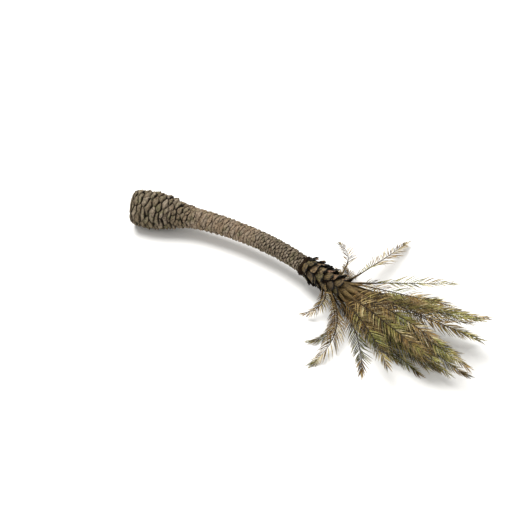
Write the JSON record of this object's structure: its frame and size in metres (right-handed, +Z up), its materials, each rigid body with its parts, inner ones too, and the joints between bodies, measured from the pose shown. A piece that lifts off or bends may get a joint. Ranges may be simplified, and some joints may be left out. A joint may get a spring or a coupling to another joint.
{
  "type": "felled dried date palm",
  "caption": "Felled, dried date palm lying on the ground: a curved ringed trunk with a swollen, scaly foot, cut leaf bases and a brush of dry feather leaves.",
  "frame": {"origin": "on the ground, under the middle of the palm's box", "axes": "+X along the palm from its foot to its crown, +Z up"},
  "size_m": [8.0429, 4.0941, 1.1492],
  "materials": {
    "bark": "matt, weathered",
    "leaf_base": "matt, cut and weathered",
    "fibre": "matt, coarse fibre",
    "dry_leaf": "dry, slightly waxy"
  },
  "bodies": {
    "root": {"fibre_sheath": "fibre", "frond_02": "dry_leaf", "frond_04": "dry_leaf", "frond_05": "dry_leaf", "frond_07": "dry_leaf", "frond_09": "dry_leaf", "frond_10": "dry_leaf", "frond_12": "dry_leaf", "frond_13": "dry_leaf", "frond_15": "dry_leaf", "frond_17": "dry_leaf", "frond_18": "dry_leaf", "frond_20": "dry_leaf", "frond_23": "dry_leaf", "frond_25": "dry_leaf", "frond_26": "dry_leaf", "frond_28": "dry_leaf", "frond_30": "dry_leaf", "frond_31": "dry_leaf", "frond_33": "dry_leaf", "frond_34": "dry_leaf", "frond_35": "dry_leaf", "frond_36": "dry_leaf", "frond_37": "dry_leaf", "frond_38": "dry_leaf", "frond_39": "dry_leaf", "frond_40": "dry_leaf", "frond_41": "dry_leaf", "frond_42": "dry_leaf", "frond_43": "dry_leaf", "frond_44": "dry_leaf", "frond_45": "dry_leaf", "frond_46": "dry_leaf", "frond_47": "dry_leaf", "frond_48": "dry_leaf", "frond_49": "dry_leaf", "frond_50": "dry_leaf", "leaf_base_01": "leaf_base", "leaf_base_02": "leaf_base", "leaf_base_03": "leaf_base", "leaf_base_04": "leaf_base", "leaf_base_05": "leaf_base", "leaf_base_06": "leaf_base", "leaf_base_07": "leaf_base", "leaf_base_08": "leaf_base", "leaf_base_09": "leaf_base", "leaf_base_10": "leaf_base", "leaf_base_11": "leaf_base", "leaf_base_12": "leaf_base", "leaf_base_13": "leaf_base", "leaf_base_14": "leaf_base", "leaf_base_15": "leaf_base", "leaf_base_16": "leaf_base", "leaf_base_17": "leaf_base", "leaf_base_18": "leaf_base", "leaf_base_19": "leaf_base", "leaf_base_20": "leaf_base", "spear_leaf": "dry_leaf", "trunk": "bark"}
  },
  "joints": []
}
